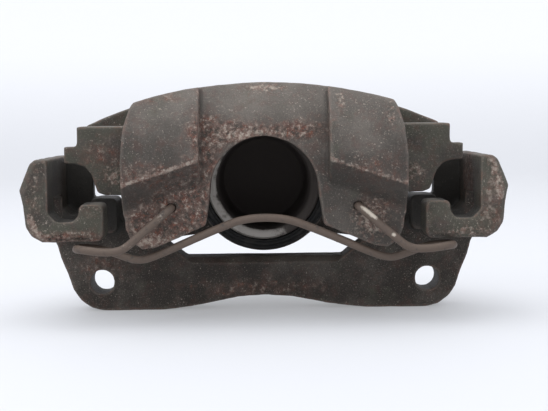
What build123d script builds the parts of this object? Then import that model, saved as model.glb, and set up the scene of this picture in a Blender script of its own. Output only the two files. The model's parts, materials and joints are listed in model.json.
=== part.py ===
"""Single-piston sliding brake caliper: carrier bracket, housing, piston, guide pins and wire spring.

Millimetres. +Z is up, +X is to the right and +Y runs inboard, along the piston.
The origin is midway between the two mounting holes, on the inboard mounting face.
"""
from build123d import *
import os
from math import cos, hypot, radians, sin

os.makedirs("parts", exist_ok=True)

# Carrier bracket
MOUNT_X = 80.7            # half the distance between the mounting holes
MOUNT_R = 6.0             # hole for an M12 bolt, drawn without its thread
PLATE_T = 20.0            # lower plate, front to back
FOOT_Z = -14.5            # flat underside that the caliper stands on
JAW_FRONT = -72.0         # outboard face of the outboard jaws
JAW_DEPTH = 20.0
INNER_JAW_FRONT = -26.0   # outboard face of the inboard jaws
WALL_X = 98.8             # machined wall that the end of a pad slides along
WALL_TOP = 62.6
POCKET_X = 85.0           # side of the lip that a pad's ear hooks over
POCKET_Z = 34.0           # floor of the pocket
LIP_X = 73.5
LIP_TOP = 42.0
ARM_LOW = 44.0            # underside of the arms that cross over the disc

# Housing
AXIS_Z = 48.0             # piston axis
FINGER_FRONT = -76.0
FINGER_BACK = -64.0
SHOULDER_FRONT = -86.0
CENTRE_FRONT = -76.0
SHOULDER_X = 29.3
HOUSING_X = 64.5
ARCH_R = 203.0            # outside of the arch
ARCH_TOP = 97.0
FLANGE_R = 216.0          # outside of the inboard flange
DISC_Z = -71.0            # axis of the brake disc
UNDER_R = 150.0           # underside of the arch, 8 mm clear of a 284 mm disc
WINDOW_R = 24.5
WINDOW_Z = 47.5
WING_X = 87.0
WING_TOP = 77.3
WING_LOW = 60.2
WING_FRONT = -58.0
WING_BACK = -22.0
WING_T = 9.0
LEAN_Z = 60.0             # height above which the fronts lean back
FLANGE_FRONT = 2.0
FLANGE_BACK = 20.0
CYL_R = 34.5
CYL_FRONT = -8.0
CYL_BACK = 54.0
BORE_R = 28.55
BORE_END = 44.0
BOOT_SEAT_R = 33.0
BOOT_SEAT_DEPTH = 4.0
SEAL_R = 31.5
SEAL_Y = (2.0, 6.4)

# Piston and rubber parts
PISTON_R = 28.5
PISTON_FRONT = -10.0
PISTON_LENGTH = 50.0
CUP_R = 23.2
CUP_DEPTH = 43.0

# Guide pins
PIN_X, PIN_Z = 79.0, 26.0
PIN_R = 6.0
THREAD_R = 5.0
PIN_END = 40.0
EAR_R = 11.8
EAR_Y = (6.0, 32.0)
BUSH_R = 8.6
RUN = 0.05                # radial running clearance

# Anti-rattle spring
WIRE_R = 1.85
SPRING_HOLE = (42.3, 40.2)

# Bleed screw, set across the cylinder and pointing up and to the right
BLEED_Y = 38.0
BLEED_ANGLE = 35.0
BLEED_R = 3.5
BLEED_SEAT = 45.0         # distance of the boss's face from the piston's axis
PORT_X, PORT_Z = -14.0, 52.0
PORT_R = 4.5


def plane_xz(y):
    """A sketch plane facing -Y at the given y, with local x along X and local y along Z."""
    return Plane(origin=(0, y, 0), x_dir=(1, 0, 0), z_dir=(0, -1, 0))


def bleed_plane(distance):
    """A sketch plane across the bleed screw, at a distance from the piston's axis."""
    across = Vector(cos(radians(BLEED_ANGLE)), 0, sin(radians(BLEED_ANGLE)))
    return Plane(origin=Vector(0, BLEED_Y, AXIS_Z) + across * distance, x_dir=(0, 1, 0), z_dir=across)


def both(points):
    """A right-hand half outline from bottom to top, closed through its mirror image."""
    return [*points, *[(-x, z) for x, z in reversed(points) if x > 0]]


def arc_face(left, right, radius, centre_z, low):
    """Area under an arc, down to low, between two values of x."""
    def height(x):
        return centre_z + (radius**2 - x**2) ** 0.5

    middle = (left + right) / 2
    with BuildSketch(mode=Mode.PRIVATE) as area:
        with BuildLine():
            ThreePointArc((left, height(left)), (middle, height(middle)), (right, height(right)))
            Polyline((right, height(right)), (right, low), (left, low), (left, height(left)))
        make_face()
    return area.sketch


# ---------------------------------------------------------------- carrier bracket
def plate_outline():
    """Half outline of the lower plate, from the middle of its underside to the middle of its top."""
    return [
        (0, -7.5), (14, -8.6), (32, -12.2), (50, FOOT_Z), (79.5, FOOT_Z), (86, -13.2),
        (91.5, -9.2), (95, -4), (97.2, 3), (100.8, 11.5), (102.6, 18.2), (108.8, 30),
        (POCKET_X, POCKET_Z), (72, 33), (68, 27), (60, 22.5), (48, 18.7), (39, 11.6), (0, 11.6),
    ]


def jaw_outline(inner):
    """Outline of one right-hand jaw, a C open at the top, whose lip starts at inner."""
    return [
        (inner + 2, 24.6), (inner, 27.5), (inner, LIP_TOP - 1.5), (inner + 1.5, LIP_TOP),
        (POCKET_X - 1.5, LIP_TOP), (POCKET_X, LIP_TOP - 1.5), (POCKET_X, POCKET_Z + 3),
        (POCKET_X + 2.5, POCKET_Z), (WALL_X - 4, POCKET_Z), (WALL_X, POCKET_Z + 4),
        (WALL_X, WALL_TOP), (104.4, WALL_TOP), (107.2, 60.6), (112.1, 48.5), (110.9, 43),
        (109.6, 31.5), (106.8, 27.2), (102, 24.3),
    ]


with BuildPart() as bracket:
    with BuildSketch(plane_xz(0)):
        Polygon(*both(plate_outline()), align=None)
    extrude(amount=PLATE_T)
    front_top = bracket.edges().filter_by(Axis.X).filter_by(lambda e: abs(e.center().Z - 11.6) < 0.1)
    chamfer(front_top.sort_by(Axis.Y)[0], length=4.5, length2=2.8)
    with BuildSketch(plane_xz(0)):
        Polygon(*jaw_outline(72.0), align=None)
        mirror(about=Plane.YZ)
    extrude(amount=-INNER_JAW_FRONT)
    with BuildSketch(plane_xz(0)):
        with Locations((92.75, 45.5), (-92.75, 45.5)):
            Rectangle(14.5, 29)
    extrude(amount=9)
    with BuildSketch(plane_xz(JAW_FRONT)):
        Polygon(*jaw_outline(LIP_X), align=None)
        mirror(about=Plane.YZ)
    extrude(amount=-JAW_DEPTH)
    outer = bracket.faces().filter_by(Axis.Y).group_by(Axis.Y)[0].edges()
    outer = outer.filter_by(lambda e: abs(e.center().X) > 101 or e.center().Z < 26)
    chamfer(outer.filter_by(lambda e: e.center().Z < 56 and abs(e.center().X) > 76), length=2.4)
    with BuildSketch(plane_xz(INNER_JAW_FRONT)):
        for side in (-1, 1):
            Polygon(*[(side * x, z) for x, z in (
                (WALL_X, ARM_LOW), (110.9, ARM_LOW), (111.7, 48.5), (106.8, 60.6), (104.2, WALL_TOP),
                (WALL_X, WALL_TOP))], align=None)
    extrude(amount=INNER_JAW_FRONT - JAW_FRONT - JAW_DEPTH)
    with Locations(plane_xz(-PLATE_T)):
        with Locations((MOUNT_X, 0), (-MOUNT_X, 0)):
            Hole(MOUNT_R, depth=PLATE_T * 2)
    with Locations(Plane(origin=(0, 0, 0), x_dir=(-1, 0, 0), z_dir=(0, 1, 0))):
        with Locations((PIN_X, PIN_Z), (-PIN_X, PIN_Z)):
            Hole(THREAD_R, depth=16)
bracket.part.label = "carrier_bracket"


# ---------------------------------------------------------------- housing
def ridge_cut(side):
    """The facet under a shoulder, which runs back and down from the ridge to the finger's face."""
    ridge, end = (28.0, 62.2), (76.0, 46.6)
    run = hypot(end[0] - ridge[0], end[1] - ridge[1])
    along = ((end[0] - ridge[0]) / run * side, 0, (end[1] - ridge[1]) / run)
    facet = Plane(origin=(ridge[0] * side, SHOULDER_FRONT, ridge[1]), x_dir=(0, 1, 0), z_dir=along)
    down = -side
    with BuildSketch(facet) as wedge:
        Polygon((-2, -3 * down), (0, 0), (FINGER_FRONT - SHOULDER_FRONT, 11.5 * down),
                (FINGER_FRONT - SHOULDER_FRONT, 40 * down), (-2, 40 * down), align=None)
    extrude(wedge.sketch, amount=run, mode=Mode.SUBTRACT)


def lean_back(half_width, centre_x, front, foot_z, top_y, top_z):
    """Round the front back along an arc, which starts upright at foot_z and meets top_y at top_z."""
    with BuildSketch(Plane(origin=(centre_x, 0, 0), x_dir=(0, 1, 0), z_dir=(1, 0, 0))) as side:
        with BuildLine():
            TangentArc((front, foot_z), (top_y, top_z), tangent=(0, 1))
            Polyline((top_y, top_z), (top_y, top_z + 30), (front - 20, top_z + 30), (front - 20, foot_z),
                     (front, foot_z))
        make_face()
    extrude(side.sketch, amount=half_width, both=True, mode=Mode.SUBTRACT)


with BuildPart() as housing:
    # Arch over the disc, flat-topped towards its ends
    with BuildSketch(plane_xz(FLANGE_FRONT)):
        add(arc_face(-HOUSING_X, HOUSING_X, ARCH_R, ARCH_TOP - ARCH_R, 50))
    extrude(amount=FLANGE_FRONT - FINGER_BACK)
    with BuildSketch(plane_xz(FLANGE_FRONT)):
        with Locations((0, DISC_Z)):
            Circle(UNDER_R)
    extrude(amount=FLANGE_FRONT - FINGER_BACK, mode=Mode.SUBTRACT)
    # Leaning centre of the front
    with BuildSketch(plane_xz(FINGER_BACK)):
        add(arc_face(-SHOULDER_X, SHOULDER_X, ARCH_R, ARCH_TOP - ARCH_R, 45))
    extrude(amount=FINGER_BACK - CENTRE_FRONT)
    lean_back(SHOULDER_X, 0, CENTRE_FRONT, LEAN_Z, -58, 98)
    # Shoulders
    with BuildSketch(plane_xz(FINGER_BACK)):
        for side in (-1, 1):
            low, high = sorted((side * SHOULDER_X, side * HOUSING_X))
            add(arc_face(low, high, ARCH_R, ARCH_TOP - ARCH_R, 36))
    extrude(amount=FINGER_BACK - SHOULDER_FRONT)
    for side in (-1, 1):
        lean_back(20, side * (SHOULDER_X + 20), SHOULDER_FRONT, LEAN_Z, -60, 97.5)
        ridge_cut(side)
    # Sides that lean in towards the top
    with BuildSketch(plane_xz(FLANGE_FRONT)):
        Polygon((HOUSING_X, 62), (63.2, 76), (60.6, 85.6), (58.8, 88.8), (58.8, 96), (70, 96), (70, 62),
                align=None)
        mirror(about=Plane.YZ)
    extrude(amount=FLANGE_FRONT - SHOULDER_FRONT, mode=Mode.SUBTRACT)
    # Flat wings, with stepped cheeks at their outboard ends
    with BuildSketch(plane_xz(WING_BACK)):
        for side in (-1, 1):
            with Locations((side * (WING_X + 62) / 2, (WING_TOP + WING_LOW) / 2)):
                Rectangle(WING_X - 62, WING_TOP - WING_LOW)
    extrude(amount=WING_BACK - WING_FRONT)
    with BuildSketch(plane_xz(WING_FRONT + WING_T)):
        Polygon((60, 45), (74, 45), (77.5, 46.5), (78.8, 50), (80.4, 55), (83.6, 58.6), (87.5, 59.8),
                (93, WING_LOW), (93, 68), (WING_X, 68), (WING_X, WING_TOP), (60, WING_TOP), align=None)
        mirror(about=Plane.YZ)
    extrude(amount=WING_T)
    # Fingers
    with BuildSketch(plane_xz(FINGER_BACK)):
        Polygon((20, 31), (27, 31.6), (50, 21.8), (56, 21.2), (60.6, 24.6), (63.4, 31), (64.5, 48),
                (64.5, 62), (20, 62), align=None)
        mirror(about=Plane.YZ)
    extrude(amount=FINGER_BACK - FINGER_FRONT)
    # Inboard flange
    with BuildSketch(plane_xz(FLANGE_BACK)):
        add(arc_face(-90, 90, FLANGE_R, ARCH_TOP - FLANGE_R, 66))
    extrude(amount=FLANGE_BACK - FLANGE_FRONT)
    # Cylinder, its neck up into the arch, and the web out to the guide ears
    with BuildSketch(plane_xz(CYL_BACK)):
        with Locations((0, AXIS_Z)):
            Circle(CYL_R)
    extrude(amount=CYL_BACK - CYL_FRONT)
    with BuildSketch(plane_xz(EAR_Y[0] + 18)):
        Polygon((0, 18), (24, 22), (PIN_X, PIN_Z - EAR_R), (PIN_X, PIN_Z + EAR_R), (64, 42), (54, 56),
                (50, 70), (0, 70), align=None)
        mirror(about=Plane.YZ)
    extrude(amount=14)
    with BuildSketch(plane_xz(EAR_Y[1])):
        with Locations((PIN_X, PIN_Z), (-PIN_X, PIN_Z)):
            Circle(EAR_R)
    extrude(amount=EAR_Y[1] - EAR_Y[0])
    for x in (-26, 26):
        with BuildSketch(Plane(origin=(x - 4, 0, 0), x_dir=(0, 1, 0), z_dir=(1, 0, 0))):
            Polygon((10, 86), (FLANGE_BACK, 84), (CYL_BACK - 6, 68), (CYL_BACK - 6, 56), (10, 56), align=None)
        extrude(amount=8)
    # Bosses of the bleed screw and of the hose
    with BuildSketch(bleed_plane(30)):
        Circle(8)
    extrude(amount=BLEED_SEAT - 30)
    with BuildSketch(plane_xz(CYL_BACK + 6)):
        with Locations((PORT_X, PORT_Z)):
            Circle(11)
    extrude(amount=10)
    fillet(housing.edges().filter_by(GeomType.CIRCLE).filter_by(
        lambda e: abs(e.radius - CYL_R) < 0.01 and e.center().Y > CYL_BACK - 1), radius=5)
    # Window between the fingers
    with BuildSketch(plane_xz(FINGER_BACK)):
        with Locations((0, WINDOW_Z)):
            Circle(WINDOW_R)
        Polygon((-28, 15), (28, 15), (26.8, 32), (WINDOW_R, WINDOW_Z), (-WINDOW_R, WINDOW_Z), (-26.8, 32),
                align=None)
    extrude(amount=40, mode=Mode.SUBTRACT)
    # Bore with its seal groove and the seat of the boot
    for radius, low, high in (
        (BORE_R, CYL_FRONT, BORE_END),
        (SEAL_R, *SEAL_Y),
        (BOOT_SEAT_R, CYL_FRONT, CYL_FRONT + BOOT_SEAT_DEPTH),
        (CYL_R + 0.3, CYL_FRONT - 4, CYL_FRONT),
    ):
        with BuildSketch(plane_xz(high)):
            with Locations((0, AXIS_Z)):
                Circle(radius)
        extrude(amount=high - low, mode=Mode.SUBTRACT)
    # Holes for the guide bushes, the wire spring, the bleed screw and the hose
    with BuildSketch(plane_xz(EAR_Y[1])):
        with Locations((PIN_X, PIN_Z), (-PIN_X, PIN_Z)):
            Circle(BUSH_R)
    extrude(amount=EAR_Y[1] - EAR_Y[0], mode=Mode.SUBTRACT)
    with BuildSketch(plane_xz(FINGER_FRONT + 11)):
        with Locations(SPRING_HOLE, (-SPRING_HOLE[0], SPRING_HOLE[1])):
            Circle(WIRE_R + 0.25)
    extrude(amount=20, mode=Mode.SUBTRACT)
    with BuildSketch(bleed_plane(24)):
        Circle(1.5)
    extrude(amount=12, mode=Mode.SUBTRACT)
    with BuildSketch(bleed_plane(32)):
        Circle(BLEED_R + RUN)
    extrude(amount=BLEED_SEAT - 30, mode=Mode.SUBTRACT)
    with BuildSketch(plane_xz(CYL_BACK + 6)):
        with Locations((PORT_X, PORT_Z)):
            Circle(PORT_R)
    extrude(amount=12, mode=Mode.SUBTRACT)
    with BuildSketch(plane_xz(CYL_BACK - 5)):
        with Locations((PORT_X, PORT_Z)):
            Circle(2)
    extrude(amount=8, mode=Mode.SUBTRACT)
housing.part.label = "caliper_housing"


# ---------------------------------------------------------------- piston and its rubber
def ring(radius, inner, low, high):
    """A ring about the piston's axis, made in the current part."""
    with BuildSketch(plane_xz(high)) as section:
        with Locations((0, AXIS_Z)):
            Circle(radius)
            Circle(inner, mode=Mode.SUBTRACT)
    extrude(section.sketch, amount=high - low)


with BuildPart() as piston:
    with BuildSketch(plane_xz(PISTON_FRONT + PISTON_LENGTH)):
        with Locations((0, AXIS_Z)):
            Circle(PISTON_R)
    extrude(amount=PISTON_LENGTH)
    with BuildSketch(plane_xz(PISTON_FRONT + CUP_DEPTH)):
        with Locations((0, AXIS_Z)):
            Circle(CUP_R)
    extrude(amount=CUP_DEPTH, mode=Mode.SUBTRACT)
    rims = piston.edges().filter_by(GeomType.CIRCLE).group_by(Axis.Y)
    chamfer([*rims[0], *rims[-1]], length=0.9)
piston.part.label = "piston"

with BuildPart() as piston_seal:
    ring(SEAL_R, PISTON_R + RUN, *SEAL_Y)
piston_seal.part.label = "piston_seal"

with BuildPart() as piston_boot:
    ring(BOOT_SEAT_R, PISTON_R + 0.3, CYL_FRONT, CYL_FRONT + BOOT_SEAT_DEPTH)
    ring(34.0, PISTON_R + 0.3, CYL_FRONT - 3, CYL_FRONT)
piston_boot.part.label = "piston_boot"


# ---------------------------------------------------------------- guide pins, bushes and caps
def guide_pin(x):
    """Plain pin with a threaded nose in the bracket and a hexagon socket in its inboard end."""
    with BuildPart() as pin:
        with BuildSketch(plane_xz(PIN_END)):
            with Locations((x, PIN_Z)):
                Circle(PIN_R)
        extrude(amount=PIN_END)
        with BuildSketch(plane_xz(0)):
            with Locations((x, PIN_Z)):
                Circle(THREAD_R)
        extrude(amount=14)
        with BuildSketch(plane_xz(PIN_END)):
            with Locations((x, PIN_Z)):
                RegularPolygon(3.5, 6, major_radius=False)
        extrude(amount=8, mode=Mode.SUBTRACT)
        tips = pin.edges().filter_by(GeomType.CIRCLE).group_by(Axis.Y)
        chamfer([*tips[0], *tips[-1]], length=0.8)
    return pin.part


def guide_bush(x):
    """Rubber sleeve pressed into a guide ear, with a flange at each face of the ear."""
    with BuildPart() as bush:
        for radius, low, high in (
            (BUSH_R, *EAR_Y), (10.0, EAR_Y[0] - 2, EAR_Y[0]), (10.0, EAR_Y[1], EAR_Y[1] + 2.5)
        ):
            with BuildSketch(plane_xz(high)):
                with Locations((x, PIN_Z)):
                    Circle(radius)
                    Circle(PIN_R + RUN, mode=Mode.SUBTRACT)
            extrude(amount=high - low)
    return bush.part


def guide_cap(x):
    """Hollow cap on the inboard end of a bush, deep enough for the pin at either end of its slide."""
    start = EAR_Y[1] + 2.5
    with BuildPart() as cap:
        with BuildSketch(plane_xz(start + 11)):
            with Locations((x, PIN_Z)):
                Circle(9.2)
        extrude(amount=11)
        fillet(cap.edges().filter_by(GeomType.CIRCLE).group_by(Axis.Y)[-1], radius=2)
        with BuildSketch(plane_xz(start + 9)):
            with Locations((x, PIN_Z)):
                Circle(7.6)
        extrude(amount=9, mode=Mode.SUBTRACT)
    return cap.part


# ---------------------------------------------------------------- bleed screw and its cap
with BuildPart() as bleed_screw:
    for radius, low, high in ((BLEED_R, 36, BLEED_SEAT + 1), (4.2, BLEED_SEAT + 6, BLEED_SEAT + 8)):
        with BuildSketch(bleed_plane(low)):
            Circle(radius)
        extrude(amount=high - low)
    with BuildSketch(bleed_plane(BLEED_SEAT + 1)):
        RegularPolygon(5.5, 6, major_radius=False)
    extrude(amount=5)
    with BuildSketch(bleed_plane(BLEED_SEAT + 8)):
        Circle(2.9)
    extrude(amount=6)
    with BuildSketch(bleed_plane(40)):
        Circle(1.0)
    extrude(amount=BLEED_SEAT - 20, mode=Mode.SUBTRACT)
bleed_screw.part.label = "bleed_screw"

with BuildPart() as bleed_cap:
    with BuildSketch(bleed_plane(BLEED_SEAT + 8)):
        Circle(4.8)
    extrude(amount=8)
    with BuildSketch(bleed_plane(BLEED_SEAT + 8)):
        Circle(2.9)
    extrude(amount=6, mode=Mode.SUBTRACT)
bleed_cap.part.label = "bleed_cap"


# ---------------------------------------------------------------- anti-rattle spring
# Right-hand half of the wire, from the end held in the finger to the middle of the central bow
SPRING_ROUTE = [
    (42.3, -67.5, 40.2), (42.3, -79.6, 40.2), (65.5, -81.0, 20.6), (85.0, -78.0, 21.4),
    (85.0, -61.0, 21.4), (70.0, -62.0, 19.0), (58.0, -68.0, 15.6), (33.0, -74.0, 25.4), (12.0, -75.0, 34.6),
]
SPRING_BENDS = [2.6, 9.0, 7.0, 7.0, 12.0, 13.0, 60.0, 26.0]

with BuildPart() as spring:
    with BuildLine() as wire:
        FilletPolyline(
            *SPRING_ROUTE, *[(-x, y, z) for x, y, z in reversed(SPRING_ROUTE)],
            radius=[*SPRING_BENDS, *reversed(SPRING_BENDS)],
        )
    with BuildSketch(Plane(origin=SPRING_ROUTE[0], z_dir=(0, -1, 0))):
        Circle(WIRE_R)
    sweep(path=wire.wires()[0])
spring.part.label = "anti_rattle_spring"

PIECES = [bracket.part, housing.part, piston.part, piston_seal.part, piston_boot.part, spring.part,
          bleed_screw.part, bleed_cap.part]
for maker, label in ((guide_pin, "guide_pin"), (guide_bush, "guide_bush"), (guide_cap, "guide_cap")):
    for side, name in ((-1, "left"), (1, "right")):
        piece = maker(side * PIN_X)
        piece.label = f"{label}_{name}"
        PIECES.append(piece)

for piece in PIECES:
    export_step(piece, f"parts/{piece.label}.step")
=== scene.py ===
"""Sliding brake caliper: aged castings, piston, rubber parts and wire spring, as a Blender add-on."""
import json
from math import atan2, pi, radians

import bmesh
import bpy
import numpy as np
from bpy.props import FloatProperty, FloatVectorProperty, IntProperty, PointerProperty
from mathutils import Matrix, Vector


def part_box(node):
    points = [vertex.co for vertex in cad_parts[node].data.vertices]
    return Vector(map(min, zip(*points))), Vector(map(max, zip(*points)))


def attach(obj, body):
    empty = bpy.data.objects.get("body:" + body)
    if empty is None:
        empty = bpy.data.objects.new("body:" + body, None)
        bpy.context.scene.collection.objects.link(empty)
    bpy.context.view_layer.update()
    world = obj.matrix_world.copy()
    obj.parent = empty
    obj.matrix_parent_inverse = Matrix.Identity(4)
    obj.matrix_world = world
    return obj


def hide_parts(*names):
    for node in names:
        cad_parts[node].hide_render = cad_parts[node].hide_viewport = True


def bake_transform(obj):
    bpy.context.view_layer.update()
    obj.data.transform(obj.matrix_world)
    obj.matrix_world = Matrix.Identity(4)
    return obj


bl_info = {
    "name": "Sliding Brake Caliper",
    "version": (1, 0, 0),
    "blender": (4, 5, 0),
    "location": "View3D > Sidebar > Caliper",
    "description": "Builds the visible pieces of a single-piston sliding brake caliper",
    "category": "Object",
}

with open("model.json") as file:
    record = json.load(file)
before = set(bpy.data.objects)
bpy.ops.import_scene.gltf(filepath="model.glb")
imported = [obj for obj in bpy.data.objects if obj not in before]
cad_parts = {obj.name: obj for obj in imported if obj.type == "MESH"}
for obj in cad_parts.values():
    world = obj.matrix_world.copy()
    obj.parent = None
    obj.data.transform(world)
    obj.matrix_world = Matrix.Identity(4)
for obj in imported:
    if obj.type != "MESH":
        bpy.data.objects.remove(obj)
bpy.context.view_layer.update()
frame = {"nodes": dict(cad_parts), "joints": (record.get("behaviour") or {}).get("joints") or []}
MM = 0.001


def middle(node):
    """Centre of a CAD node's box, in metres."""
    low, high = (np.array(corner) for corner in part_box(node))
    return (low + high) / 2


PISTON_LOW, PISTON_HIGH = (np.array(corner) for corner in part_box("piston"))
AXIS = middle("piston") / MM
PISTON_R = (PISTON_HIGH[0] - PISTON_LOW[0]) / 2 / MM
PISTON_FRONT = PISTON_LOW[1] / MM
PISTON_BACK = PISTON_HIGH[1] / MM
FLOOR_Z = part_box("carrier_bracket")[0][2]

# Places on the castings, in millimetres
RIDGE = ((28.0, 62.2), (68.0, 49.2))  # X and Z of the two ends of the ridge under a shoulder
RIDGE_FALL = (RIDGE[1][1] - RIDGE[0][1]) / (RIDGE[1][0] - RIDGE[0][0])
SHOULDER_FRONT = -86
SHOULDER_X = 29.3     # inner side of a shoulder
HOUSING_X = 64.5      # outer side of a shoulder
SPRING_HOLE = (42.3, 40.2)
MOUNT_X = 80.7        # half the distance between the mounting holes
JAW_FRONT = -72
BORE_EDGE = 34        # radius about the piston's axis that is machined
ON_AXIS = 0.02        # smallest radius of a turned profile
WIRE_R = 1.85
WIRE_SIDES = 20


# ---------------------------------------------------------------- settings
def colour_setting(name, description, default):
    """A colour that a user may change."""
    return FloatVectorProperty(name=name, description=description, subtype="COLOR", size=3,
                               min=0.0, max=1.0, default=default)


class CastingSettings(bpy.types.PropertyGroup):
    """Sizes and colours of the two iron castings."""
    grid: FloatProperty(name="Grid", description="Size of the cells that the castings are rebuilt on",
                        default=1.0 * MM, unit="LENGTH")
    rounds: IntProperty(name="Rounding", description="How often the cast edges are relaxed", default=4)
    ripple: FloatProperty(name="Ripple", description="Height of the unevenness left by the sand mould",
                          default=0.16 * MM, unit="LENGTH")
    dark: colour_setting("Dark iron", "Oil-stained iron", (0.040, 0.034, 0.028))
    light: colour_setting("Light iron", "Dusty iron", (0.135, 0.117, 0.100))
    plate: colour_setting("Bracket iron", "Brown iron of the bracket's plate", (0.0185, 0.0137, 0.0092))
    moss: colour_setting("Green cast", "Greenish film", (0.066, 0.066, 0.046))
    rust: colour_setting("Rust", "Orange rust", (0.23, 0.075, 0.038))
    deep_rust: colour_setting("Deep rust", "Red-brown rust", (0.090, 0.036, 0.026))
    crust: colour_setting("Crust", "Pinkish brown crust on rusty iron", (0.185, 0.112, 0.088))
    speck: colour_setting("Specks", "Pale dried salt and dust", (0.42, 0.36, 0.30))
    # Colour of oily dirt, and also of the painted shade in creases, recesses and on down-facing faces
    grime_and_shade: colour_setting("Grime", "Oily dirt in the corners", (0.016, 0.014, 0.011))


class MetalSettings(bpy.types.PropertyGroup):
    """Colours of the piston, wire, pins and bleed screw."""
    piston: colour_setting("Piston", "Ground steel", (0.34, 0.315, 0.285))
    # Colour of burnt fluid, and also of the painted shade on the right-hand side of the piston's rim
    grime_and_shade: colour_setting("Grime", "Burnt brake fluid", (0.085, 0.072, 0.065))
    wire: colour_setting("Wire", "Oxidised spring wire", (0.110, 0.080, 0.062))
    bare: colour_setting("Bare steel", "Scuffed wire", (0.55, 0.49, 0.41))
    plating: colour_setting("Plating", "Dulled zinc", (0.42, 0.40, 0.36))


class RubberSettings(bpy.types.PropertyGroup):
    """Colours of the rubber and plastic parts."""
    rubber: colour_setting("Rubber", "Black rubber", (0.010, 0.010, 0.010))
    dust: colour_setting("Dust", "Dust lying on the rubber", (0.085, 0.075, 0.066))


class StageSettings(bpy.types.PropertyGroup):
    """Floor, lights and camera."""
    floor: colour_setting("Floor", "Pale floor", (0.43, 0.44, 0.465))
    lens: FloatProperty(name="Lens", description="Focal length", default=86.7, unit="CAMERA")
    distance: FloatProperty(name="Distance", description="From the camera to the mounting face",
                            default=0.672, unit="LENGTH")
    pitch: FloatProperty(name="Pitch", description="How far the camera looks down",
                         default=radians(3.84), subtype="ANGLE")
    aside: FloatProperty(name="Aside", description="How far the camera stands to the right",
                         default=-0.0038, unit="LENGTH")
    turn: FloatProperty(name="Turn", description="How far the camera looks to the left",
                        default=radians(-0.81), subtype="ANGLE")
    roll: FloatProperty(name="Roll", description="How far the camera leans to the right",
                        default=radians(0.65), subtype="ANGLE")


class CaliperSettings(bpy.types.PropertyGroup):
    """All the settings of the caliper."""
    casting: PointerProperty(type=CastingSettings)
    metal: PointerProperty(type=MetalSettings)
    rubber: PointerProperty(type=RubberSettings)
    stage: PointerProperty(type=StageSettings)


def settings():
    """The settings kept on the scene."""
    return bpy.context.scene.caliper


# ---------------------------------------------------------------- numpy surfaces
def lattice(cells, seed):
    """A repeatable random number from 0 to 1 for each whole-numbered cell, by mixing its bits."""
    mixed = cells.astype(np.int64) @ np.array([73856093, 19349663, 83492791]) + seed * 2654435761
    mixed = (mixed ^ (mixed >> 13)) * 1274126177 & 0x7FFFFFFF
    return ((mixed ^ (mixed >> 16)) & 0xFFFFFF) / 0xFFFFFF


def value_noise(points, size, seed):
    """Smooth noise from -1 to 1: the eight corners' numbers of each cell, blended by 3t^2 - 2t^3."""
    scaled = points / size
    cell = np.floor(scaled)
    t = scaled - cell
    t = t * t * (3 - 2 * t)
    total = np.zeros(len(points))
    for corner in np.ndindex(2, 2, 2):
        share = np.prod(np.where(corner, t, 1 - t), axis=1)
        total += share * lattice(cell + corner, seed)
    return total * 2 - 1


def blob(points, centre, size):
    """A soft patch: e to the minus squared distance, with its own size along X, Y and Z."""
    away = (points - np.array(centre) * MM) / (np.array(size) * MM)
    return np.exp(-(away**2).sum(axis=1))


def make_object(name, points, faces):
    """An object at the origin from arrays of points in metres and faces."""
    mesh = bpy.data.meshes.new(name)
    mesh.from_pydata(points.tolist(), [], faces.tolist())
    mesh.polygons.foreach_set("use_smooth", np.ones(len(mesh.polygons), dtype=bool))
    mesh.validate()
    mesh.update()
    made = bpy.data.objects.new(name, mesh)
    bpy.context.scene.collection.objects.link(made)
    return made


def grid_faces(rows, columns, close_rows=False):
    """Quads of a grid whose columns close on themselves, and its rows too if close_rows."""
    last = rows if close_rows else rows - 1
    row, column = np.meshgrid(np.arange(last), np.arange(columns), indexing="ij")
    next_row, next_column = (row + 1) % rows, (column + 1) % columns
    corners = (row * columns + column, row * columns + next_column,
               next_row * columns + next_column, next_row * columns + column)
    return np.stack(corners, axis=-1).reshape(-1, 4)


def turned(name, profile, centre, segments, axis=(0, 1, 0)):
    """A profile of (radius, distance along the axis) in millimetres, turned about an axis.

    A point lies at centre + along * axis + radius * (cos a * side + sin a * up). The profile is
    closed: its last point is joined to its first.
    """
    profile = np.array(profile, dtype=float)
    axis = np.array(axis, dtype=float)
    axis /= np.linalg.norm(axis)
    side = np.cross(axis, (0, 0, 1))
    side /= np.linalg.norm(side)
    up = np.cross(side, axis)
    angle = np.linspace(0, 2 * pi, segments, endpoint=False)
    round_ = np.cos(angle)[:, None] * side + np.sin(angle)[:, None] * up
    points = (np.array(centre) + profile[:, 1][:, None, None] * axis
              + profile[:, 0][:, None, None] * round_[None])
    made = make_object(name, points.reshape(-1, 3) * MM, grid_faces(len(profile), segments, close_rows=True))
    face_outwards(made)
    return made


def smooth_profile(points, steps=3):
    """A closed profile with each corner rounded: a quadratic B-spline, which meets each run at its middle.

    Between two middles the point is (1-t)^2 * first + 2t(1-t) * corner + t^2 * second.
    """
    corner = np.array(points, dtype=float)
    first = (np.roll(corner, 1, axis=0) + corner) / 2
    second = (corner + np.roll(corner, -1, axis=0)) / 2
    t = np.linspace(0, 1, steps, endpoint=False)[None, :, None]
    curve = (1 - t)**2 * first[:, None] + 2 * t * (1 - t) * corner[:, None] + t**2 * second[:, None]
    return curve.reshape(-1, 2)


def face_outwards(made):
    """Merge doubles and turn every face outwards."""
    shell = bmesh.new()
    shell.from_mesh(made.data)
    bmesh.ops.remove_doubles(shell, verts=shell.verts, dist=1e-7)
    bmesh.ops.recalc_face_normals(shell, faces=shell.faces)
    shell.to_mesh(made.data)
    shell.free()
    made.data.update()


def get_points(mesh):
    """The mesh's points as an array."""
    points = np.empty(len(mesh.vertices) * 3)
    mesh.vertices.foreach_get("co", points)
    return points.reshape(-1, 3)


def get_normals(mesh):
    """The normal at each of the mesh's points."""
    normals = np.empty(len(mesh.vertices) * 3)
    mesh.vertex_normals.foreach_get("vector", normals)
    return normals.reshape(-1, 3)


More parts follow.
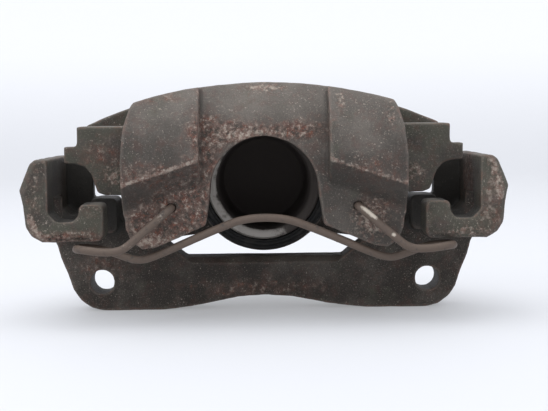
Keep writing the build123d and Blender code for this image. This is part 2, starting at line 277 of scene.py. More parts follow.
def set_value(mesh, name, values):
    """Keep one number for each point, which a material can read."""
    mesh.attributes.new(name, "FLOAT", "POINT").data.foreach_set("value", values.astype(np.float32))


def neighbour_mean(edges, values):
    """For each point, the mean of the values at the points that it shares an edge with."""
    total = np.zeros_like(values)
    np.add.at(total, edges[:, 0], values[edges[:, 1]])
    np.add.at(total, edges[:, 1], values[edges[:, 0]])
    count = np.bincount(edges.ravel(), minlength=len(values))
    return total / np.maximum(count, 1)[:, None]


# ---------------------------------------------------------------- materials
class Recipe:
    """Short ways to add shader nodes to one material."""

    def __init__(self, name):
        self.material = bpy.data.materials.new(name)
        self.material.use_nodes = True
        self.nodes = self.material.node_tree.nodes
        self.links = self.material.node_tree.links
        self.shader = self.nodes["Principled BSDF"]
        self.place = self.nodes.new("ShaderNodeTexCoord").outputs["Object"]

    def set(self, **values):
        """Set sockets of the shader: a number or colour directly, an output by a link."""
        for key, value in values.items():
            self.feed(self.shader.inputs[key.replace("_", " ")], value)

    def feed(self, socket, value):
        """Link an output to a socket, or set the socket's own value."""
        if isinstance(value, bpy.types.NodeSocket):
            self.links.new(value, socket)
        elif hasattr(value, "__len__") and socket.type == "RGBA":
            socket.default_value = (*value, 1.0)[:4]
        else:
            socket.default_value = value

    def noise(self, size, detail=4.0, roughness=0.55):
        """Noise whose largest lumps are about size metres across."""
        made = self.nodes.new("ShaderNodeTexNoise")
        made.inputs["Scale"].default_value = 1 / size
        made.inputs["Detail"].default_value = detail
        made.inputs["Roughness"].default_value = roughness
        self.links.new(self.place, made.inputs["Vector"])
        return made.outputs["Fac"]

    def pits(self, size):
        """Distance from scattered points, about size metres apart."""
        made = self.nodes.new("ShaderNodeTexVoronoi")
        made.inputs["Scale"].default_value = 1 / size
        self.links.new(self.place, made.inputs["Vector"])
        return made.outputs["Distance"]

    def value(self, name):
        """A number kept on the mesh."""
        made = self.nodes.new("ShaderNodeAttribute")
        made.attribute_name = name
        return made.outputs["Fac"]

    def between(self, value, low, high):
        """0 below low, 1 above high, and smooth between; with low above high it is turned round."""
        made = self.nodes.new("ShaderNodeMapRange")
        made.interpolation_type = "SMOOTHSTEP"
        swap = low > high
        for key, number in (("From Min", min(low, high)), ("From Max", max(low, high)),
                            ("To Min", float(swap)), ("To Max", float(not swap))):
            made.inputs[key].default_value = number
        self.feed(made.inputs["Value"], value)
        return made.outputs["Result"]

    def maths(self, operation, first, second=0.0):
        """One step of arithmetic."""
        made = self.nodes.new("ShaderNodeMath")
        made.operation = operation
        self.feed(made.inputs[0], first)
        self.feed(made.inputs[1], second)
        return made.outputs["Value"]

    def times(self, *values):
        """All the values multiplied."""
        total = values[0]
        for value in values[1:]:
            total = self.maths("MULTIPLY", total, value)
        return total

    def plus(self, *values):
        """All the values added."""
        total = values[0]
        for value in values[1:]:
            total = self.maths("ADD", total, value)
        return total

    def over(self, below, above, share):
        """One colour laid over another by a share from 0 to 1."""
        made = self.nodes.new("ShaderNodeMix")
        made.data_type = "RGBA"
        self.feed(made.inputs[0], share)
        self.feed(made.inputs[6], below)
        self.feed(made.inputs[7], above)
        return made.outputs[2]

    def bump(self, height, depth):
        """Bump of a height from 0 to 1, depth metres deep."""
        made = self.nodes.new("ShaderNodeBump")
        made.inputs["Distance"].default_value = depth
        made.inputs["Strength"].default_value = 1.0
        self.feed(made.inputs["Height"], height)
        self.feed(self.shader.inputs["Normal"], made.outputs["Normal"])


def iron_material(name, dark, light, rustiness):
    """Old cast iron: stains, a green film, lumpy rust and pale crust where the mesh says, oily dirt and
    grain, with painted light on the tops, painted highlights along edges and painted shade in creases and
    recesses.
    """
    look = settings().casting
    r = Recipe(name)
    fine = r.noise(0.8 * MM, 5, 0.75)
    grit = r.noise(1.7 * MM, 6, 0.78)
    lumps = r.noise(2.6 * MM, 6, 0.72)
    # Lighter by random tone and by the mesh's dust value, which carries dust and also painted light on
    # upward-facing faces
    lightness = r.plus(r.times(r.between(r.noise(20 * MM, 6, 0.62), 0.38, 0.66), 0.30), r.times(fine, 0.85),
                       r.times(r.value("dust"), 0.62), -0.34)
    colour = r.over(dark, light, r.between(lightness, 0.0, 1.0))
    film = r.plus(r.noise(13 * MM, 4), r.times(r.value("film"), 0.22))
    colour = r.over(colour, look.moss, r.times(r.between(film, 0.56, 0.76), 0.6))
    brown = r.times(r.between(r.noise(6 * MM, 6, 0.7), 0.48, 0.66), 0.32 * rustiness)
    colour = r.over(colour, look.deep_rust, brown)
    rusty = r.between(r.plus(r.value("rust"), r.times(r.noise(5 * MM, 5, 0.7), 0.9), -0.45), 0.10, 0.55)
    colour = r.over(colour, look.crust, r.times(rusty, 0.42))
    red = r.times(rusty, r.between(r.noise(4.2 * MM, 5, 0.65), 0.46, 0.58))
    colour = r.over(colour, look.deep_rust, r.times(red, 0.85))
    colour = r.over(colour, look.rust, r.times(red, r.between(grit, 0.50, 0.62), 0.75))
    colour = r.over(colour, dark, r.times(rusty, r.between(lumps, 0.50, 0.42), 0.9))
    colour = r.over(colour, look.speck, r.times(rusty, r.between(lumps, 0.54, 0.63), 0.60))
    crusty = r.plus(r.value("crust"), r.times(r.noise(1.9 * MM, 5, 0.72), 1.3), -0.65)
    crusty = r.between(crusty, 0.22, 0.50)
    pale = r.over(look.crust, look.speck, r.between(grit, 0.44, 0.60))
    colour = r.over(colour, pale, r.times(crusty, 0.80))
    # Convex edges paler: edge wear, and painted highlights along edges and outlines
    edge = r.between(r.plus(r.value("edge"), r.times(grit, 0.5), -0.25), 0.14, 0.50)
    edge_wear_and_highlight = r.over(light, look.crust, r.between(r.noise(4 * MM, 3), 0.45, 0.6))
    colour = r.over(colour, edge_wear_and_highlight, r.times(edge, 0.42))
    scatter = r.plus(r.times(r.between(r.noise(9 * MM, 3), 0.48, 0.66), 0.060),
                     r.times(r.value("dust"), 0.012))
    speck = r.between(r.plus(r.noise(0.95 * MM, 2, 0.5), scatter), 0.680, 0.745)
    colour = r.over(colour, look.speck, r.times(speck, 0.50))
    colour = r.over(colour, look.speck, r.times(r.between(r.noise(0.55 * MM, 2, 0.5), 0.58, 0.74), 0.30))
    # Painted shade: darker on faces that the mesh marks as shaded, and in concave creases
    painted_shade = r.plus(r.times(r.value("grime_and_shade"), r.plus(r.times(lumps, 0.9), 0.40)),
                    r.times(r.between(r.value("edge"), -0.15, -0.60), 0.45))
    colour = r.over(colour, look.grime_and_shade, r.between(painted_shade, 0.0, 1.0))
    r.set(Base_Color=colour, Roughness=r.plus(r.times(fine, 0.30), r.times(rusty, 0.14), 0.46))
    r.bump(r.plus(r.times(fine, 0.55), r.times(grit, 0.55), r.times(rusty, lumps, 1.6), r.times(crusty, 0.5),
                  r.times(r.between(r.pits(2.4 * MM), 0.05, 0.28), 0.14)), 0.55 * MM)
    r.shader.inputs["Specular IOR Level"].default_value = 0.38
    return r.material


def steel_material(name, colour, grime_and_shade, dirt, roughness=0.34, metallic=0.75, patch=6 * MM, bare=None):
    """Turned or drawn steel with a film of dirt that thins where it is bare; where the mesh marks them, the
    film also paints shade and the bare steel also paints highlights.
    """
    r = Recipe(name)
    film = r.plus(r.noise(patch, 6, 0.65), r.times(r.value("soot_and_shade"), 0.6))
    film = r.between(film, 0.62 - 0.25 * dirt, 0.80)
    base = r.over(colour, grime_and_shade, film)
    if bare is not None:
        scuff = r.plus(r.value("bare"), r.times(r.noise(0.9 * MM, 5, 0.75), 1.2), -0.60)
        base = r.over(base, bare, r.between(scuff, 0.25, 0.80))
    r.set(Base_Color=base, Roughness=r.plus(r.times(film, 0.35), r.times(r.noise(0.8 * MM, 3), 0.15),
                                            roughness - 0.06))
    r.shader.inputs["Metallic"].default_value = metallic
    r.bump(r.plus(r.times(r.noise(0.5 * MM, 3), 0.5), r.times(film, 0.5)), 0.10 * MM)
    return r.material


def rubber_material(name, dustiness):
    """Matt black rubber with fine dust in patches."""
    look = settings().rubber
    r = Recipe(name)
    dust = r.times(r.between(r.noise(5 * MM, 6, 0.7), 0.45, 0.75), dustiness)
    r.set(Base_Color=r.over(look.rubber, look.dust, dust),
          Roughness=r.plus(r.times(dust, 0.3), r.times(r.noise(1 * MM, 3), 0.15), 0.55))
    r.shader.inputs["Specular IOR Level"].default_value = 0.3
    r.bump(r.noise(0.6 * MM, 4, 0.6), 0.10 * MM)
    return r.material


def finish_with(made, material):
    """Give a piece its one material."""
    made.data.materials.clear()
    made.data.materials.append(material)


def dress_node(name, material):
    """Give a CAD node a better material in every slot that it has."""
    for slot in frame["nodes"][name].material_slots:
        slot.material = material


# ---------------------------------------------------------------- castings
def recast(node, name, machined, roughened):
    """A copy of a CAD casting on an even grid, with its edges relaxed and its skin left uneven.

    Each round moves a point half-way to the mean of its neighbours, less where it is machined. The
    skin then moves along its normal by two sizes of noise, mostly inwards, and more where it is
    roughened.
    """
    look = settings().casting
    made = frame["nodes"][node].copy()
    made.data = frame["nodes"][node].data.copy()
    made.name = made.data.name = name
    made.parent = None
    bpy.context.scene.collection.objects.link(made)
    face_outwards(made)
    made.data.remesh_voxel_size = look.grid
    made.data.use_remesh_fix_poles = False
    with bpy.context.temp_override(object=made, active_object=made):
        bpy.ops.object.voxel_remesh()
    mesh = made.data
    edges = np.empty(len(mesh.edges) * 2, dtype=np.int64)
    mesh.edges.foreach_get("vertices", edges)
    edges = edges.reshape(-1, 2)
    points = get_points(mesh)
    free = (1 - machined(points))[:, None]
    for _ in range(look.rounds):
        points += free * 0.5 * (neighbour_mean(edges, points) - points)
    mesh.vertices.foreach_set("co", points.ravel())
    mesh.update()
    normals = get_normals(mesh)
    free[:, 0] *= 1 + 1.2 * roughened(points)
    skin = value_noise(points, 2.6 * MM, 1) * 0.45 + value_noise(points, 8 * MM, 2) - 0.6
    points += normals * (free[:, 0] * skin * look.ripple)[:, None]
    mesh.vertices.foreach_set("co", points.ravel())
    mesh.polygons.foreach_set("use_smooth", np.ones(len(mesh.polygons), dtype=bool))
    mesh.update()
    bend = ((points - neighbour_mean(edges, points)) * normals).sum(axis=1)[:, None]
    for _ in range(2):
        bend = (bend + neighbour_mean(edges, bend)) / 2
    set_value(mesh, "edge", np.clip(bend[:, 0] / (0.16 * look.grid), -1, 1))
    return made, points, normals


def around(points, x, z, radius):
    """1 inside a radius about a line along Y at x and z, falling to 0 over 1.5 mm."""
    away = np.hypot(points[:, 0] / MM - x, points[:, 2] / MM - z)
    return np.clip((radius + 1.5 - away) / 1.5, 0, 1)


def along_line(points, start, end, width):
    """1 on a straight line from start to end, and less away from it: e to the minus (distance / width)^2.

    The ends and the width are in millimetres.
    """
    start, run = np.array(start, dtype=float), np.array(end, dtype=float) - start
    reach = np.clip((points / MM - start) @ run / (run @ run), 0, 1)[:, None]
    away = np.linalg.norm(points / MM - start - reach * run, axis=1)
    return np.exp(-(away / width)**2)


def patches(points, spots):
    """The sum of soft patches, each (strength, centre, size), in millimetres."""
    return sum(strength * blob(points, centre, size) for strength, centre, size in spots)


def streaks(points, lines):
    """The sum of soft lines, each (strength, start, end, width), in millimetres."""
    return sum(strength * along_line(points, *line) for strength, *line in lines)


def step(values, low, high):
    """0 below low, 1 above high, and 3t^2 - 2t^3 between; low above high turns it round."""
    t = np.clip((values - low) / (high - low), 0, 1)
    return t * t * (3 - 2 * t)


class CALIPER_OT_housing(bpy.types.Operator):
    """Rebuild the housing as an aged casting"""
    bl_idname = "caliper.housing"
    bl_label = "Housing"

    def execute(self, context):
        look = settings().casting

        def machined(points):
            pin = middle("guide_pin_right") / MM
            bore = around(points, AXIS[0], AXIS[2], BORE_EDGE) * (points[:, 1] > -15 * MM)
            ears = [around(points, side * pin[0], pin[2], 9) for side in (1, -1)]
            holes = [0.7 * around(points, side * SPRING_HOLE[0], SPRING_HOLE[1], 2.6) for side in (1, -1)]
            return np.max([0.8 * bore, *ears, *holes], axis=0)

        def rust_at(points):
            return np.clip(patches(points, [
                (1.0, (-48, -78, 31), (15, 14, 12)), (0.75, (-34, -78, 42), (12, 14, 14)),
                (0.7, (-16, -74, 74), (18, 14, 6)), (0.55, (18, -74, 75), (16, 14, 5)),
                (0.8, (-27, -76, 70), (6, 14, 13)), (0.45, (-52, -86, 55), (16, 10, 7)),
                (0.35, (46, -86, 58), (16, 10, 6)), (0.35, (-52, -74, 92), (22, 12, 5)),
                (0.3, (52, -78, 40), (10, 14, 14)), (0.4, (-74, -56, 62), (12, 12, 10)),
                (0.25, (20, 20, 40), (30, 40, 30)), (0.3, (0, -20, 98), (60, 30, 8)),
            ]), 0, 1)

        made, points, normals = recast("caliper_housing", "housing_casting", machined, rust_at)
        # Dust patches, and painted light on upward-facing faces from the normals
        dust = np.clip(normals[:, 2], 0, 1) * 0.75 + patches(points, [
            (0.45, (0, -70, 88), (34, 16, 12)), (0.3, (-30, -84, 68), (12, 16, 14)),
            (0.2, (48, -84, 70), (16, 16, 14)),
        ])
        x, y, z = (points / MM).T
        # Painted shade: the sloped down-facing face under each ridge, down-facing faces near the front, and
        # the deeper parts further back and lower down
        below = RIDGE[0][1] + (np.abs(x) - RIDGE[0][0]) * RIDGE_FALL - z
        facet_shade = (step(below, -0.2, 1.2) * step(below, 13.5, 9.5) * step(y, -72, -75) * (np.abs(x) > 26)
                 * (normals[:, 2] < -0.25))
        under = step(-normals[:, 2], 0.3, 0.8) * step(y, -70, -60)
        recess_shade = step(z, 56, 44) * step(y, -62, -50) * (y < 0)
        grime_and_shade = 0.55 * facet_shade + 0.5 * under + 0.45 * recess_shade
        crust = np.zeros(len(points))
        # Pale crust along each ridge and the shoulders' side edges, with a painted highlight along these
        # edges
        for side, share in ((-1, 1.0), (1, 0.75)):
            ridge = [(side * end_x, SHOULDER_FRONT, end_z) for end_x, end_z in RIDGE]
            crust += streaks(points, [
                (share * 0.62, *ridge, 1.3),
                (share * 0.45, (side * SHOULDER_X, SHOULDER_FRONT, 62), (side * SHOULDER_X, -68, 93), 2.4),
                (0.35, (side * HOUSING_X, SHOULDER_FRONT, 50), (side * HOUSING_X, -66, 88), 1.5),
            ])
        crust += patches(points, [
            (0.55, (-54, -76, 25), (14, 10, 4)), (0.45, (48, -78, 34), (12, 10, 12)),
            (0.42, (35, -72, 86), (3, 14, 8)), (0.40, (57, -76, 80), (3, 14, 8)),
            (0.40, (-70, -58, 54), (9, 6, 6)), (0.40, (70, -58, 54), (9, 6, 6)),
            (0.5, (0, -66, 95), (14, 10, 5)), (0.5, (-8, -76, 73), (24, 8, 4)),
        ])
        set_value(made.data, "rust", rust_at(points))
        set_value(made.data, "dust", np.clip(dust, 0, 1))
        set_value(made.data, "crust", np.clip(crust, 0, 1))
        set_value(made.data, "grime_and_shade", np.clip(grime_and_shade, 0, 1))
        set_value(made.data, "film", step(np.abs(x), 62, 68))
        finish_with(made, iron_material("aged_housing_iron", look.dark, look.light, 1.0))
        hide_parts("caliper_housing")
        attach(made, "housing")
        return {"FINISHED"}


class CALIPER_OT_bracket(bpy.types.Operator):
    """Rebuild the carrier bracket as an aged casting"""
    bl_idname = "caliper.bracket"
    bl_label = "Carrier bracket"

    def execute(self, context):
        look = settings().casting

        def machined(points):
            side = np.abs(points[:, 0]) / MM
            wall = (side > 97.6) * (side < 99.6) * (points[:, 2] > 38 * MM) * (points[:, 2] < 60 * MM)
            holes = [around(points, x, 0, 6.4) for x in (-MOUNT_X, MOUNT_X)]
            return np.max([0.75 * wall, *holes], axis=0)

        def rust_at(points):
            return np.clip(patches(points, [
                (0.8, (-92, JAW_FRONT, 25), (22, 12, 4)), (0.15, (-80, JAW_FRONT, 38), (9, 14, 10)),
                (0.7, (99, -36, 52), (4, 14, 14)), (0.25, (-107, JAW_FRONT, 45), (5, 14, 20)),
                (0.35, (104, JAW_FRONT, 36), (8, 14, 18)), (0.3, (-80, -20, 8), (18, 10, 10)),
                (0.3, (0, -20, -4), (40, 10, 6)),
            ]), 0, 1)

        made, points, normals = recast("carrier_bracket", "bracket_casting", machined, rust_at)
        # Painted light on upward-facing faces from the normals, and lighter patches on the jaws that are dust
        # and painted light together
        dust = np.clip(normals[:, 2], 0, 1) * 0.6 + patches(points, [
            (0.30, (-102, -74, 46), (12, 10, 22)), (0.40, (103, -74, 46), (12, 10, 22)),
            (0.10, (-80, -74, 34), (8, 10, 8)), (0.3, (80, -74, 34), (8, 10, 8)),
        ])
        x, y, z = (points / MM).T
        side = np.abs(x)
        # Painted shade inside the jaws, back from their front faces, and on the inner parts further back
        pocket_shade = (side > 80) * step(side, 99.4, 98.2) * step(y, -71.8, -70.5) * (z > 26)
        grime_and_shade = 0.85 * pocket_shade + 0.95 * step(y, -56, -48) * step(z, 20, 30) * (side < 97.5)
        crust = streaks(points, [
            (0.55, (-108, JAW_FRONT, 36), (-100, JAW_FRONT, 23), 2.5),
            (0.28, (-104, JAW_FRONT, 40), (-104, JAW_FRONT, 60), 3),
            (0.5, (108, JAW_FRONT, 44), (104, JAW_FRONT, 60), 3),
        ]) + patches(points, [
            (0.6, (-84, JAW_FRONT, 23), (16, 8, 3)), (0.4, (92, JAW_FRONT, 27), (14, 8, 4)),
        ])
        set_value(made.data, "rust", rust_at(points))
        set_value(made.data, "dust", np.clip(dust, 0, 1))
        set_value(made.data, "crust", np.clip(crust, 0, 1))
        set_value(made.data, "grime_and_shade", np.clip(grime_and_shade, 0, 1))
        set_value(made.data, "film", step(y, -45, -60))
        finish_with(made, iron_material("aged_bracket_iron", look.plate, look.light, 0.8))
        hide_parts("carrier_bracket")
        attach(made, "carrier")
        return {"FINISHED"}


# ---------------------------------------------------------------- piston and rubber
class CALIPER_OT_piston(bpy.types.Operator):
    """Turn the piston: a cup with a rounded rim and a groove for the boot"""
    bl_idname = "caliper.piston"
    bl_label = "Piston"

    def execute(self, context):
        look = settings().metal
        front, back, rim = PISTON_FRONT, PISTON_BACK, PISTON_R
        profile = [(rim - 0.9, front), (rim, front + 0.9), (rim, front + 2.6), (rim - 1.6, front + 3.0),
                   (rim - 1.6, front + 5.0), (rim, front + 5.4), (rim, back - 1.2), (rim - 1.2, back),
                   (ON_AXIS, back), (ON_AXIS, back - 6.5), (14, back - 6.7), (21, back - 7.4),
                   (23, back - 11), (23.1, front + 6), (23.3, front + 2), (24.0, front + 0.5),
                   (25, front), (26.2, front + 0.15)]
        made = turned("piston_cup", profile, (AXIS[0], 0, AXIS[2]), segments=192)
        points = get_points(made.data)
        radius = np.hypot(points[:, 0] / MM - AXIS[0], points[:, 2] / MM - AXIS[2])
        # Darker over the whole inside of the cup, and painted shade on the right-hand side of the rim
        inside = (radius < 24.2) * np.clip((points[:, 1] / MM - front) / 5, 0, 1)
        right = 0.75 * step(points[:, 0] / MM, 2, 18) * (points[:, 1] / MM < front + 3)
        set_value(made.data, "soot_and_shade", inside * 2.0 + right)
        split = made.modifiers.new("crisp_rims", "EDGE_SPLIT")
        split.split_angle = radians(35)
        finish_with(made, steel_material("ground_piston_steel", look.piston, look.grime_and_shade, dirt=0.42,
                                         roughness=0.48, metallic=0.45, patch=4 * MM))
        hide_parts("piston")
        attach(made, "piston")
        return {"FINISHED"}


def folded_wall(line, thick):
    """A closed profile of even thickness: an open line pushed half of it to each side along its normals."""
    line = np.array(line, dtype=float)
    along = np.gradient(line, axis=0)
    along /= np.linalg.norm(along, axis=1)[:, None]
    across = np.stack([-along[:, 1], along[:, 0]], axis=1) * thick / 2
    return np.concatenate([line + across, (line - across)[::-1]])


class CALIPER_OT_piston_boot(bpy.types.Operator):
    """Turn the piston's folded rubber boot"""
    bl_idname = "caliper.piston_boot"
    bl_label = "Piston boot"

    def execute(self, context):
        low, high = (np.array(corner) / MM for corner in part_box("piston_boot"))
        outer = (high[0] - low[0]) / 2
        inner = PISTON_R + 0.75
        seat = high[1] - 0.6
        t = np.linspace(0, 1, 90)
        folds = 2.5
        fold = 0.5 + 0.5 * np.cos(t * 2 * pi * folds)
        widest = np.where(t < 0.55, outer - 2.0, outer - 0.75)
        radius = inner + (widest - inner) * fold
        ripple = 0.38 * np.sin((radius - inner) * 2 * pi / 2.3) * step(t, 0.78, 0.84)
        line = np.stack([radius, seat + (low[1] + 0.95 - seat) * t + ripple], axis=1)
        made = turned("folded_boot", folded_wall(line, 0.8), (AXIS[0], 0, AXIS[2]), segments=160)
        finish_with(made, rubber_material("boot_rubber", 0.4))
        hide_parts("piston_boot")
        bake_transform(made)
        return {"FINISHED"}


class CALIPER_OT_guide_parts(bpy.types.Operator):
    """Turn the guide bushes and their caps, and finish the guide pins"""
    bl_idname = "caliper.guide_parts"
    bl_label = "Guide pins, bushes and caps"

    def execute(self, context):
        look = settings().metal
        rubber = rubber_material("bush_rubber", 0.6)
        plastic = rubber_material("cap_plastic", 0.8)
        steel = steel_material("guide_pin_steel", look.plating, look.grime_and_shade, dirt=0.3)
        for hand in ("left", "right"):
            low, high = (np.array(corner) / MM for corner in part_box(f"guide_bush_{hand}"))
            centre = (middle(f"guide_bush_{hand}") / MM)[[0, 2]]
            flange, sleeve, hole = (high[0] - low[0]) / 2, 8.55, 6.1
            bush = [(hole, low[1] + 0.3), (hole + 0.4, low[1]),
                    (flange - 0.8, low[1]), (flange, low[1] + 0.5),
                    (flange - 0.2, low[1] + 1.4), (flange - 1, low[1] + 1.95), (sleeve, low[1] + 2.1),
                    (sleeve, high[1] - 2.6), (flange - 0.6, high[1] - 2.45), (flange, high[1] - 1.8),
                    (flange - 0.5, high[1] - 0.3), (flange - 1.2, high[1]),
                    (hole + 0.5, high[1]), (hole, high[1] - 0.4)]
            sleeve_piece = turned(f"rubber_bush_{hand}", bush, (centre[0], 0, centre[1]), segments=96)
            finish_with(sleeve_piece, rubber)
            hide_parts(f"guide_bush_{hand}")
            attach(sleeve_piece, "housing")
            low, high = (np.array(corner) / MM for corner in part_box(f"guide_cap_{hand}"))
            wide = (high[0] - low[0]) / 2
            shell = [(7.7, low[1]), (wide - 0.3, low[1]), (wide, low[1] + 0.4), (wide, low[1] + 2.0),
                     (wide - 0.6, low[1] + 2.5), (wide - 0.6, high[1] - 1.8), (wide - 1.0, high[1] - 0.7),
                     (wide - 2.0, high[1]), (5.5, high[1]), (4.8, high[1] - 0.5), (ON_AXIS, high[1] - 0.6),
                     (ON_AXIS, high[1] - 1.8), (7.0, high[1] - 1.9), (7.6, high[1] - 2.6)]
            cap = turned(f"pin_cap_{hand}", smooth_profile(shell), (centre[0], 0, centre[1]), segments=96)
            finish_with(cap, plastic)
            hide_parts(f"guide_cap_{hand}")
            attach(cap, "housing")
            dress_node(f"guide_pin_{hand}", steel)
        return {"FINISHED"}


class CALIPER_OT_bleed_parts(bpy.types.Operator):
    """Finish the bleed screw and the seal, and turn the bleed screw's rubber cap"""
    bl_idname = "caliper.bleed_parts"
    bl_label = "Bleed screw, its cap and the piston seal"

    def execute(self, context):
        look = settings().metal
        joint = next(j for j in frame["joints"] if j["name"] == "bleed_screw_turn")
        axis = np.array(joint["axis"])
        start = np.array(joint["pos_m"]) / MM + axis * 8.0
        cap = [(2.95, 0.1), (4.3, 0), (4.8, 0.5), (4.8, 1.5), (4.1, 1.9), (4.1, 5.4), (4.5, 5.8), (4.5, 7.0),
               (3.9, 7.7), (ON_AXIS, 7.9), (ON_AXIS, 6.1), (2.95, 6.05)]
        made = turned("bleed_screw_cap", smooth_profile(cap), start, segments=64, axis=axis)
        finish_with(made, rubber_material("bleed_cap_rubber", 0.5))
        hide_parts("bleed_cap")
        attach(made, "bleeder")
        dress_node("bleed_screw", steel_material("bleed_screw_steel", look.plating, look.grime_and_shade, dirt=0.4))
        dress_node("piston_seal", rubber_material("seal_rubber", 0.0))
        return {"FINISHED"}


# ---------------------------------------------------------------- spring
# Right-hand half of the wire, in millimetres, from the end held in the finger to the central bow
SPRING_ROUTE = [
    (42.3, -68.5, 40.2), (42.3, -75.0, 40.2), (42.6, -79.8, 40.0), (48.0, -80.6, 35.4), (58.0, -80.9, 26.8),
    (64.5, -80.8, 21.3), (73.0, -80.0, 20.5), (84.0, -78.0, 22.0), (87.0, -70.0, 21.4), (84.0, -61.8, 21.4),
    (74.0, -61.8, 20.2), (65.0, -64.0, 17.0), (57.6, -68.2, 15.4), (49.0, -72.0, 18.4), (36.0, -74.0, 24.2),
    (22.0, -75.0, 30.2), (9.0, -75.2, 35.2),
]


def drawn_wire(route, radius, steps=14):
    """A round wire along a route of corners, each rounded by a quadratic B-spline.

    A ring of points is carried along: ring = centre + radius * (cos a * side + sin a * up), where side
    stays as level as the path allows. Each end is closed by three shrinking rings and a point.
    """
    corner = np.array(route, dtype=float)
    first = (corner[:-2] + corner[1:-1]) / 2
    second = (corner[1:-1] + corner[2:]) / 2
    first[0], second[-1] = corner[0], corner[-1]
    t = np.linspace(0, 1, steps, endpoint=False)[None, :, None]
    inner = corner[1:-1][:, None]
    bend = (1 - t)**2 * first[:, None] + 2 * t * (1 - t) * inner + t**2 * second[:, None]
    path = np.concatenate([bend.reshape(-1, 3), corner[-1:]])
    along = np.gradient(path, axis=0)
    along /= np.linalg.norm(along, axis=1)[:, None]
    side = np.cross(along, (0.0, 0.25, 1.0))
    side /= np.linalg.norm(side, axis=1)[:, None]
    up = np.cross(side, along)
    size = np.full(len(path), radius)
    ends = np.array([0.02, 0.55, 0.9])
    path = np.concatenate([path[0] - along[0] * radius * np.array([[0.35], [0.28], [0.12]]), path,
                           path[-1] + along[-1] * radius * np.array([[0.12], [0.28], [0.35]])])
    size = np.concatenate([ends * radius, size, ends[::-1] * radius])
    side = np.concatenate([side[:1].repeat(3, 0), side, side[-1:].repeat(3, 0)])
    up = np.concatenate([up[:1].repeat(3, 0), up, up[-1:].repeat(3, 0)])
    angle = np.linspace(0, 2 * pi, WIRE_SIDES, endpoint=False)[None, :, None]
    spoke = np.cos(angle) * side[:, None] + np.sin(angle) * up[:, None]
    rings = path[:, None] + size[:, None, None] * spoke
    return rings.reshape(-1, 3) * MM, len(path)


class CALIPER_OT_spring(bpy.types.Operator):
    """Draw the wire spring that runs across the outboard side"""
    bl_idname = "caliper.spring"
    bl_label = "Anti-rattle spring"

    def execute(self, context):
        look = settings().metal
        route = SPRING_ROUTE + [(-x, y, z) for x, y, z in reversed(SPRING_ROUTE)]
        points, rings = drawn_wire(route, WIRE_R)
        made = make_object("spring_wire", points, grid_faces(rings, WIRE_SIDES))
        shell = bmesh.new()
        shell.from_mesh(made.data)
        bmesh.ops.holes_fill(shell, edges=[e for e in shell.edges if e.is_boundary])
        bmesh.ops.recalc_face_normals(shell, faces=shell.faces)
        shell.to_mesh(made.data)
        shell.free()
        made.data.update()
        points = get_points(made.data)
        # Bare, scuffed steel where the wire leaves the finger, and painted highlights along the front of the
        # wire
        scuffs_and_highlights = streaks(points, [(1.0, (43.8, -82.1, 40.7), (49.6, -82.4, 35.8), 1.5)])
        scuffs_and_highlights += patches(points, [(0.9, (57.8, -82.7, 27.4), (1.1, 1.2, 1.1)),
                                   (0.35, (-47, -82.2, 37), (4, 1.5, 4)), (0.3, (-62, -82, 24), (6, 1.5, 4))])
        set_value(made.data, "bare", np.clip(scuffs_and_highlights, 0, 1))
        set_value(made.data, "soot_and_shade", np.full(len(points), 0.1))
        finish_with(made, steel_material("spring_wire_steel", look.wire, look.grime_and_shade, dirt=0.15, roughness=0.6,
                                         metallic=0.25, patch=2.5 * MM, bare=look.bare))
        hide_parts("anti_rattle_spring")
        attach(made, "housing")
        return {"FINISHED"}


# ---------------------------------------------------------------- stage
def area_light(name, place, target, size, power):
    """A square soft light at place, facing target."""
    data = bpy.data.lights.new(name, "AREA")
    data.shape = "SQUARE"
    data.size = size
    data.energy = power
    lamp = bpy.data.objects.new(name, data)
    lamp.location = place
    away = np.array(place) - np.array(target)
    flat = np.hypot(away[0], away[1])
    lamp.rotation_euler = (atan2(flat, away[2]), 0, atan2(away[0], -away[1]))
    bpy.context.scene.collection.objects.link(lamp)


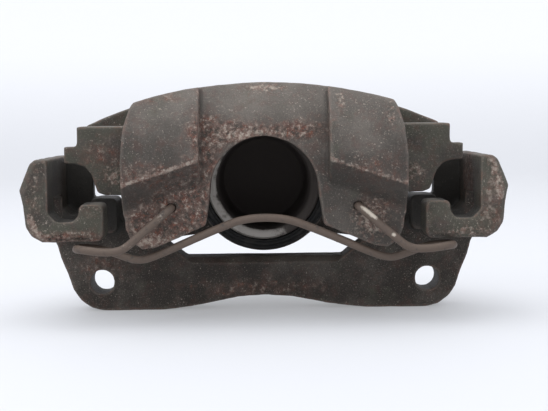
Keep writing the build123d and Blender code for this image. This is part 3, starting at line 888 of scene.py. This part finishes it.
class CALIPER_OT_stage(bpy.types.Operator):
    """Make the pale floor, the soft lights and the camera"""
    bl_idname = "caliper.stage"
    bl_label = "Stage"

    def execute(self, context):
        look = settings().stage
        turn = np.linspace(0, pi / 2, 24)
        flat, cove, sides = 1.4, 0.8, 96
        reach = np.concatenate([[0.00001, flat / 2], flat + cove * np.sin(turn)])
        height = np.concatenate([[0.0, 0.0], cove - cove * np.cos(turn)]) + FLOOR_Z
        angle = np.linspace(0, 2 * pi, sides, endpoint=False)
        points = np.stack([reach[:, None] * np.cos(angle), reach[:, None] * np.sin(angle),
                           np.repeat(height[:, None], sides, axis=1)], axis=-1).reshape(-1, 3)
        floor = make_object("floor", points, grid_faces(len(reach), sides)[:, ::-1])
        r = Recipe("pale_floor")
        r.set(Base_Color=look.floor, Roughness=0.75, Emission_Strength=r.value("glow"))
        r.shader.inputs["Emission Color"].default_value = (0.97, 0.98, 1.0, 1.0)
        set_value(floor.data, "glow", 0.22 * step(points[:, 2] - FLOOR_Z, -0.02, 0.25) + 0.29)
        finish_with(floor, r.material)
        world = bpy.data.worlds.new("soft_room")
        world.use_nodes = True
        background = world.node_tree.nodes["Background"]
        background.inputs["Color"].default_value = (0.93, 0.95, 1.0, 1)
        background.inputs["Strength"].default_value = 1.0
        context.scene.view_settings.view_transform = "Standard"
        context.scene.world = world
        area_light("overhead", (-0.15, -0.15, 1.3), (0, 0, 0.05), 1.4, 12)
        area_light("left_front", (-1.1, -0.9, 0.9), (0, 0, 0.05), 0.9, 4)
        camera = bpy.data.objects.new("camera", bpy.data.cameras.new("camera"))
        camera.data.lens = look.lens
        camera.data.sensor_width = 36
        camera.data.clip_end = 20
        camera.location = (look.aside, -look.distance, 80.75 * MM)
        camera.rotation_mode = "XYZ"
        camera.rotation_euler = (pi / 2 - look.pitch, look.roll, look.turn)
        context.scene.collection.objects.link(camera)
        context.scene.camera = camera
        return {"FINISHED"}


# ---------------------------------------------------------------- panel and running
class CALIPER_PT_panel(bpy.types.Panel):
    """Settings and pieces of the caliper"""
    bl_label = "Brake caliper"
    bl_idname = "CALIPER_PT_panel"
    bl_space_type = "VIEW_3D"
    bl_region_type = "UI"
    bl_category = "Caliper"

    def draw(self, context):
        for group in ("casting", "metal", "rubber", "stage"):
            box = self.layout.box()
            look = getattr(context.scene.caliper, group)
            for key in look.__annotations__:
                box.prop(look, key)
        for operator in OPERATORS:
            self.layout.operator(operator.bl_idname)


OPERATORS = (CALIPER_OT_stage, CALIPER_OT_bracket, CALIPER_OT_housing, CALIPER_OT_piston,
             CALIPER_OT_piston_boot, CALIPER_OT_guide_parts, CALIPER_OT_bleed_parts, CALIPER_OT_spring)
CLASSES = (CastingSettings, MetalSettings, RubberSettings, StageSettings, CaliperSettings,
           *OPERATORS, CALIPER_PT_panel)


def register():
    """Add the classes and the scene's settings."""
    for cls in CLASSES:
        bpy.utils.register_class(cls)
    bpy.types.Scene.caliper = PointerProperty(type=CaliperSettings)


def unregister():
    """Take them away again."""
    del bpy.types.Scene.caliper
    for cls in reversed(CLASSES):
        bpy.utils.unregister_class(cls)


def main():
    """Build everything in order."""
    register()
    for operator in OPERATORS:
        group, name = operator.bl_idname.split(".")
        getattr(getattr(bpy.ops, group), name)()


if __name__ == "__main__":
    main()
